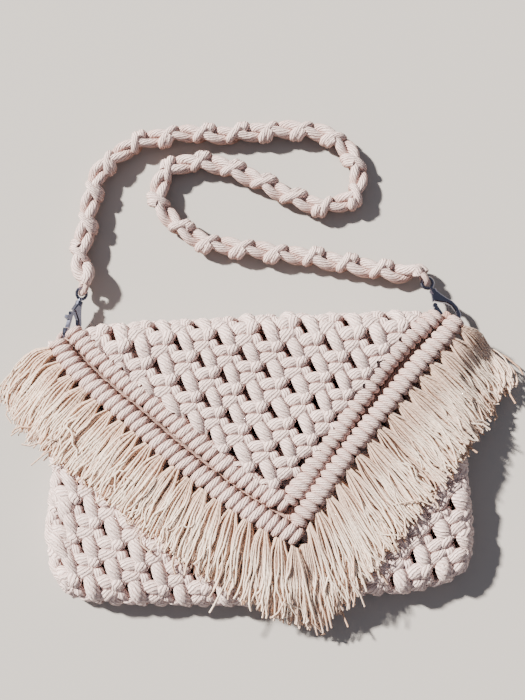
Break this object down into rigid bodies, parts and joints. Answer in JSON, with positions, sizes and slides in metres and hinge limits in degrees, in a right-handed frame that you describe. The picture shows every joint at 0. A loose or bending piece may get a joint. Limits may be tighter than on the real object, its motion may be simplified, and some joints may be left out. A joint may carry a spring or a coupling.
{
  "type": "macrame bag",
  "caption": "Knotted cotton envelope bag with a triangular fringed flap, corded ridges, and a knotted strap held by chromed snap hooks, lying on its back",
  "frame": {"origin": "on the flat back face of the bag, at the middle of its width and about the middle of its height", "axes": "+X across the bag to the right as seen from the flap's side, +Y from the bottom fold to the top fold, +Z out of the flap, away from the surface it lies on"},
  "size_m": [0.3353, 0.3407, 0.0366],
  "materials": {
    "cotton_knots": "matt single-twist cotton cord",
    "cotton_ridges": "matt single-twist cotton cord, wound",
    "cotton_fringe": "matt unravelled cotton yarn",
    "cotton_strap": "matt knotted cotton cord",
    "chrome": "bright chromed zinc"
  },
  "bodies": {
    "bag": {"pouch": "cotton_knots", "flap": "cotton_knots", "inner_ridge_left": "cotton_ridges", "inner_ridge_right": "cotton_ridges", "outer_ridge_left": "cotton_ridges", "outer_ridge_right": "cotton_ridges", "fringe_left": "cotton_fringe", "fringe_right": "cotton_fringe", "strap": "cotton_strap", "strap_loop_left": "cotton_strap", "strap_loop_right": "cotton_strap", "corner_loop_left": "cotton_knots", "corner_loop_right": "cotton_knots", "clasp_left_eye": "chrome", "clasp_left_hook": "chrome", "clasp_right_eye": "chrome", "clasp_right_hook": "chrome"},
    "gate_left": {"clasp_left_gate": "chrome"},
    "gate_right": {"clasp_right_gate": "chrome"}
  },
  "joints": [
    {"name": "gate_left_hinge", "type": "hinge", "parent": "bag", "child": "gate_left", "pos_m": [-0.11733, 0.10004, 0.01349], "axis": [0.8487, -0.2434, 0.4695], "range_deg": [0, 25], "stiffness_Nm_per_rad": 0.01, "springref_deg": -11.46},
    {"name": "gate_right_hinge", "type": "hinge", "parent": "bag", "child": "gate_right", "pos_m": [0.12159, 0.09509, 0.0098], "axis": [0, 0, 1], "range_deg": [0, 25], "stiffness_Nm_per_rad": 0.01, "springref_deg": -11.46}
  ]
}
